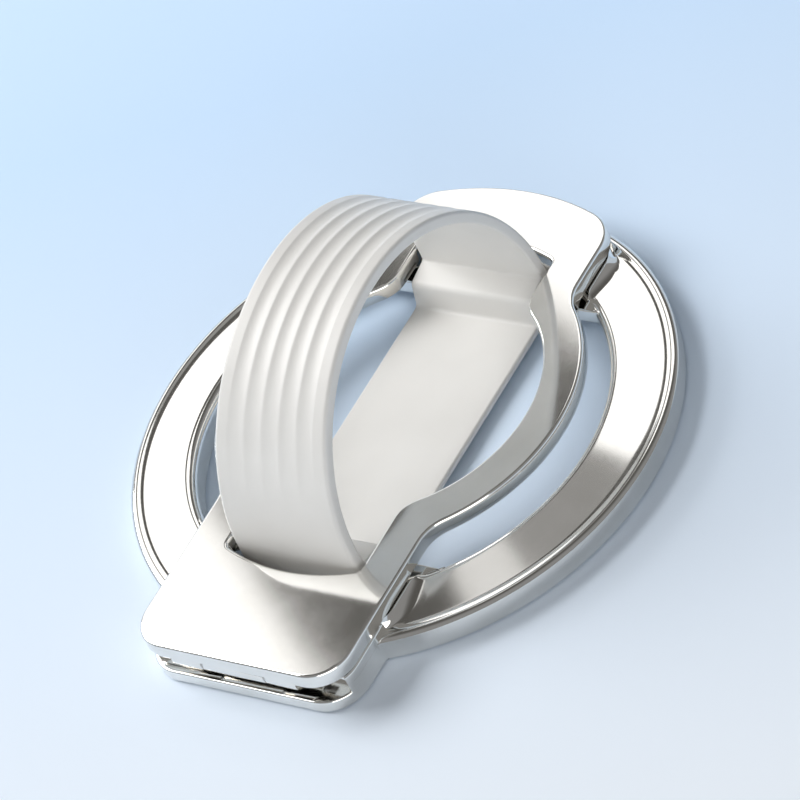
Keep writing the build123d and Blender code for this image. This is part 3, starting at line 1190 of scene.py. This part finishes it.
@dataclass
class FingerStrap:
    """The moulded loop that a finger goes through. Sizes are in millimetres."""

    end_half: float = 7.6
    crown_half: float = 6.3
    half_span: float = 19.986
    ground: float = 0.35
    corner: float = 1.0
    arch_centre: float = 5.1
    arch_wall: float = 1.3
    band_top: float = 1.15
    block_foot: float = 15.236
    block_peak: Pair = (15.836, 3.95)
    block_top: float = 4.45
    inside_radius: float = 0.5
    peak_radius: float = 0.8
    wall_radius: float = 0.25
    channel_y: float = 17.886
    channel_size: Pair = (2.6, 1.95)
    channel_bottom: float = 1.2
    channel_corner: float = 0.15
    edge: float = 0.4
    inner_edge: float = 0.28
    outline_step: float = 0.45
    channel_step: float = 0.6
    outer_columns: int = 120
    inner_columns: int = 12
    channel_columns: int = 6
    groove_count: int = 5
    groove_pitch: float = 2.1
    groove_half: float = 0.95
    groove_depth: float = 0.2
    groove_fade: float = 78.0
    groove_fade_power: float = 1.7

    def _half_width(self, level: np.ndarray) -> np.ndarray:
        """Measure half of the strap's width, which narrows towards the crown.

        Args:
            level: The levels.

        Returns:
            Half of the width at each level.
        """
        crown = self.arch_centre + self.half_span
        share = np.clip((level - self.ground) / (crown - self.ground), 0, 1)
        return self.end_half + share * (self.crown_half - self.end_half)

    def _outside(self) -> Outline:
        """Draw the loop's outer outline across Y and Z.

        Returns:
            The outline.
        """
        corner = self.corner
        parts = [
            Stretch((0, self.ground), (self.half_span - corner, self.ground)),
            Bend((self.half_span - corner, self.ground + corner), corner, -90, 0),
            Stretch((self.half_span, self.ground + corner), (self.half_span, self.arch_centre)),
            Bend((0, self.arch_centre), self.half_span, 0, 90),
        ]
        return Outline(parts, self.outline_step, mirrored=True)

    def _inside(self) -> Outline:
        """Draw the outline of the loop's opening across Y and Z.

        Returns:
            The outline.
        """
        wall = self.half_span - self.arch_wall
        corners = [
            (0, self.band_top, 0),
            (self.block_foot, self.band_top, self.inside_radius),
            (*self.block_peak, self.peak_radius),
            (wall, self.block_top, self.wall_radius),
            (wall, self.arch_centre, 0),
        ]
        parts = rounded_run(corners) + [Bend((0, self.arch_centre), wall, 0, 90)]
        return Outline(parts, self.outline_step, mirrored=True)

    def _channel(self, end: int) -> Outline:
        """Draw the outline of the channel at one end, across Y and Z.

        Args:
            end: The end, -1 or 1.

        Returns:
            The outline.
        """
        half, height, corner = self.channel_size[0] / 2, self.channel_size[1], self.channel_corner
        low, high = self.channel_bottom, self.channel_bottom + height
        corners = [(0, low, 0), (half, low, corner), (half, high, corner), (0, high, 0)]
        outline = Outline(rounded_run(corners), self.channel_step, mirrored=True)
        outline.places = outline.places + np.array((end * self.channel_y, 0.0))
        return outline

    def _grooves(self, across: float, places: np.ndarray) -> np.ndarray:
        """Measure the depth of the grooves over the arch.

        Args:
            across: The place across the strap.
            places: The places along its outline.

        Returns:
            The depth at each place.
        """
        turn = np.degrees(np.arctan2(np.abs(places[:, 0]), places[:, 1] - self.arch_centre))
        fade = 1 - (1 - np.cos(np.radians(turn))) / (1 - math.cos(math.radians(self.groove_fade)))
        depth = np.clip(fade, 0, 1) ** self.groove_fade_power * self.groove_depth
        profile = 0.0
        for index in range(self.groove_count):
            middle = (index - (self.groove_count - 1) / 2) * self.groove_pitch
            off = abs(across - middle) / self.groove_half
            profile = max(profile, 1 - off**2)
        return depth * profile

    def _wall(
        self, name: str, outline: Outline, side: int, columns: int, edge: float, grooved: bool = False
    ) -> Piece:
        """Shape one wall of the strap across its width.

        Args:
            name: The wall's name.
            outline: Its outline across Y and Z.
            side: 1 where the material lies inside the outline, -1 where it lies outside.
            columns: The number of faces across the width.
            edge: The radius of its two edges.
            grooved: Whether the grooves run over it.

        Returns:
            The open wall.
        """
        rings = []
        angles = np.linspace(math.pi / 2, 0, 7)
        left = [(edge * (1 - math.cos(a)), edge * (1 - math.sin(a))) for a in angles]
        for inset, back in left:
            flat = outline.inset(side * inset)
            rings.append(np.column_stack([-(self._half_width(flat[:, 1]) - back), flat]))
        half = self._half_width(outline.places[:, 1]) - edge
        for share in np.linspace(-1, 1, columns + 1)[1:-1]:
            depth = self._grooves(share * self.crown_half, outline.places) if grooved else 0.0
            flat = outline.inset(side * depth)
            rings.append(np.column_stack([share * half, flat]))
        for inset, back in left[::-1]:
            flat = outline.inset(side * inset)
            rings.append(np.column_stack([self._half_width(flat[:, 1]) - back, flat]))
        return skin(name, np.array(rings))

    def build(self, finish: Finish) -> None:
        """Model the strap and dress it.

        Args:
            finish: Its material.
        """
        walls = [
            self._wall("outer_face", self._outside(), 1, self.outer_columns, self.edge, grooved=True),
            self._wall("opening_face", self._inside(), -1, self.inner_columns, self.inner_edge),
        ]
        for end in (-1, 1):
            channel, columns = self._channel(end), self.channel_columns
            walls.append(self._wall("channel_face", channel, -1, columns, self.channel_corner))
        strap = merge(walls)
        strap.name = "moulded_strap"
        for side in (-1, 1):
            fill_rim(strap, lambda middle, side=side: middle.x * side > 0)
        face_outwards(strap)
        settle(strap, Body.BASE, finish)
        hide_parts("finger_strap")


@dataclass
class CoverPad:
    """The soft ring under the base that rests on the phone. Sizes are in millimetres."""

    inner_radius: float = 22.6
    outer_radius: float = 28.25
    thickness: float = 0.4
    edge: float = 0.12
    edge_rows: int = 6
    columns: int = 240

    def build(self, finish: Finish) -> None:
        """Model the pad and dress it.

        Args:
            finish: Its material.
        """
        edge, top = self.edge, self.thickness
        section = [(self.inner_radius, top), (self.outer_radius, top)]
        section += arc((self.outer_radius - edge, edge), edge, 0, -90, self.edge_rows)
        section += [(self.outer_radius - 2 * edge, 0), (self.inner_radius + 2 * edge, 0)]
        section += arc((self.inner_radius + edge, edge), edge, -90, -180, self.edge_rows)
        pad = skin("cover_pad", circles(section, self.columns), closed_rows=True)
        face_outwards(pad)
        settle(pad, Body.BASE, finish)
        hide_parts("cover_ring")


@dataclass
class InnerParts:
    """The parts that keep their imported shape: pin, washers, magnets and shunt."""

    steel_nodes: tuple[str, ...] = (
        "hinge_pin", "friction_washer_left", "friction_washer_right", "shunt_ring",
    )
    magnet_prefix: str = "magnet_"

    def dress(self, steel: Finish, coating: Finish) -> None:
        """Give the parts their finishes.

        Args:
            steel: The material of the steel parts.
            coating: The material of the magnets.
        """
        for name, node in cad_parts.items():
            if name in self.steel_nodes:
                finish = steel
            elif name.startswith(self.magnet_prefix):
                finish = coating
            else:
                continue
            node.data.materials.clear()
            node.data.materials.append(finish)
            log.info("%s: %s", name, finish.name)


@dataclass(frozen=True)
class Panel:
    """A soft lamp: its middle, its facing, the turn of its long edge in degrees, its size and its glow."""

    name: str
    middle: Triple
    facing: Triple
    turn: float
    size: Pair
    glow: float


@dataclass
class Studio:
    """The pale floor, the soft lamps and the camera. Sizes are in metres and angles in degrees."""

    floor_level: float = -0.0002
    floor_section: tuple[Pair, ...] = (
        (0.0, 0.0), (0.1, 0.0), (0.4, 0.0), (1.0, 0.0), (2.0, 0.0),
        (2.35, 0.05), (2.65, 0.18), (2.86, 0.4), (2.97, 0.68), (3.0, 1.0),
    )
    floor_columns: int = 96
    floor_near: Triple = (0.84, 0.90, 0.97)
    floor_far: Triple = (0.58, 0.75, 0.96)
    floor_pale: Triple = (0.55, 0.63, 0.72)
    floor_glow: Pair = (0.25, 1.2)
    floor_turn: float = 30.0
    floor_depth: float = 0.112
    surround: Triple = (0.26, 0.26, 0.26)
    shade: Triple = (0.10, 0.097, 0.092)
    shade_towards: Triple = (-0.40, 0.46, 0.79)
    shade_reach: Pair = (22.0, 52.0)
    panels: tuple[Panel, ...] = (
        Panel("left_strip", (-0.530, 0.276, 0.35), (0, 0, -1), -36.0, (0.62, 0.15), 1.35),
        Panel("rear_strip", (-0.479, 0.4654, 0.35), (0, 0, -1), -22.2, (0.9, 0.2), 1.35),
        Panel("grey_card", (-0.136, 0.160, 0.35), (0, 0, -1), 62.0, (0.11, 0.1), 0.22),
        Panel("pale_card", (-0.147, 0.125, 0.345), (0, 0, -1), 54.0, (0.03, 0.1), 0.5),
        Panel("key_panel", (-0.86, -0.04, 0.69), (0.86, 0.04, -0.69), 90.0, (0.7, 0.7), 8.4),
        Panel("fill_panel", (0.68, -0.81, 0.29), (-0.68, 0.81, -0.29), 40.0, (1.0, 0.6), 2.7),
    )
    aim: Triple = (-0.003637, 0.004186, 0.0)
    distance: float = 0.55833
    azimuth: float = 49.94
    elevation: float = 42.0
    roll: float = -28.42
    lens: float = 250.83
    sensor: float = 36.0
    clip: float = 0.01

    def _floor(self) -> None:
        """Lay the floor, which rises to a low wall all round."""
        section = [(radius, level + self.floor_level) for radius, level in self.floor_section]
        floor = skin("pale_floor", circles(section, self.floor_columns))
        bpy.ops.object.shade_smooth()
        material, bench = new_material("pale_blue_floor")
        place = bench.add("ShaderNodeTexCoord", output="Object")
        slant = (0, 0, -math.radians(self.floor_turn))
        along = bench.add("ShaderNodeMapping", inputs={"Vector": place, "Rotation": slant})
        depth = bench.add("ShaderNodeSeparateXYZ", inputs={"Vector": along}, output="Y")
        tints = ((0.0, self.floor_near), (1.0, self.floor_far))
        colour = bench.ramp(depth / self.floor_depth + 0.5, tints)
        radius = bench.add("ShaderNodeVectorMath", {"operation": "LENGTH"}, {0: place}, output="Value")
        away = bench.soft_rise(radius, *self.floor_glow)
        rays = ("Is Camera Ray", "Is Glossy Ray", "Is Transmission Ray")
        seen = sum(bench.add("ShaderNodeLightPath", output=ray) for ray in rays)
        matt = {"Base Color": colour, "Roughness": 1.0, "Specular IOR Level": 0.0}
        lit = bench.add("ShaderNodeBsdfPrincipled", inputs=matt)
        pale = bench.add("ShaderNodeEmission", inputs={"Color": (*self.floor_pale, 1), "Strength": 1.0})
        surface = bench.add("ShaderNodeMixShader", inputs={0: away * seen, 1: lit, 2: pale})
        bench.add("ShaderNodeOutputMaterial", inputs={"Surface": surface})
        floor.data.materials.append(material)

    def _lamp(self, panel: Panel) -> None:
        """Hang one soft lamp.

        Args:
            panel: Its place, facing, size and brightness.
        """
        light = bpy.data.lights.new(panel.name, "AREA")
        light.shape = "RECTANGLE"
        light.size, light.size_y = panel.size
        light.energy = panel.glow * math.pi * panel.size[0] * panel.size[1]
        lamp = bpy.data.objects.new(panel.name, light)
        bpy.context.scene.collection.objects.link(lamp)
        along = Vector((math.cos(math.radians(panel.turn)), math.sin(math.radians(panel.turn)), 0))
        back = Vector(panel.facing).normalized() * -1
        along = (along - back * along.dot(back)).normalized()
        axes = Matrix((along, back.cross(along), back)).transposed().to_4x4()
        lamp.matrix_world = Matrix.Translation(panel.middle) @ axes
        lamp.visible_camera = False

    def _world(self) -> None:
        """Give the room its plain surround, with a soft dark screen behind the strips."""
        world = bpy.data.worlds.new("studio")
        bpy.context.scene.world = world
        world.use_nodes = True
        bench = Bench(world.node_tree)
        towards = Vector(self.shade_towards).normalized()
        place = bench.add("ShaderNodeTexCoord", output="Generated")
        ends = {0: place, 1: towards}
        near = bench.add("ShaderNodeVectorMath", {"operation": "DOT_PRODUCT"}, ends, "Value")
        core, fade = (math.cos(math.radians(a)) for a in self.shade_reach)
        colour = bench.ramp(bench.soft_rise(near, fade, core), ((0.0, self.surround), (1.0, self.shade)))
        glow = bench.add("ShaderNodeBackground", inputs={"Color": colour, "Strength": 1.0})
        bench.add("ShaderNodeOutputWorld", inputs={"Surface": glow})

    def _camera(self) -> None:
        """Place the camera at the picture's angle."""
        turn, rise, roll = (math.radians(a) for a in (self.azimuth, self.elevation, self.roll))
        back = Vector((math.sin(turn) * math.cos(rise), -math.cos(turn) * math.cos(rise), math.sin(rise)))
        level = Vector((math.cos(turn), math.sin(turn), 0))
        up = back.cross(level)
        right = level * math.cos(roll) + up * math.sin(roll)
        up = back.cross(right)
        camera = bpy.data.cameras.new("camera")
        camera.lens = self.lens
        camera.sensor_width = self.sensor
        camera.clip_start = self.clip
        holder = bpy.data.objects.new("camera", camera)
        bpy.context.scene.collection.objects.link(holder)
        axes = Matrix((right, up, back)).transposed().to_4x4()
        holder.matrix_world = Matrix.Translation(Vector(self.aim) + back * self.distance) @ axes
        bpy.context.scene.camera = holder

    def build(self) -> None:
        """Set up the floor, the lamps, the surround and the camera."""
        self._floor()
        self._world()
        for panel in self.panels:
            self._lamp(panel)
        self._camera()
        bpy.context.scene.view_settings.view_transform = "Standard"


def main() -> None:
    """Build the sub-assemblies in order, then the studio."""
    logging.basicConfig(level=logging.INFO, format="%(name)s %(message)s")
    metal = PolishedMetal("polished_nickel", (0.87, 0.855, 0.825), (0.82, 0.805, 0.77), 0.085, 0.03)
    steel = TurnedSteel("turned_steel", (0.62, 0.61, 0.60), (0.42, 0.41, 0.40), (1.0, 14.0, 14.0))
    coating = TurnedSteel("magnet_coating", (0.70, 0.68, 0.64), (0.55, 0.53, 0.50), (3.0, 3.0, 12.0))
    strap = SoftSilicone("strap_silicone", (0.755, 0.74, 0.71), (0.70, 0.685, 0.655), 0.46)
    cover = SoftSilicone("cover_silicone", (0.60, 0.59, 0.58), (0.52, 0.51, 0.50), 0.55)
    polished = metal.material()
    BaseRing().build(polished)
    StandPlate().build(polished)
    FingerStrap().build(strap.material())
    CoverPad().build(cover.material())
    InnerParts().dress(steel.material(), coating.material())
    Studio().build()


if __name__ == "__main__":
    main()
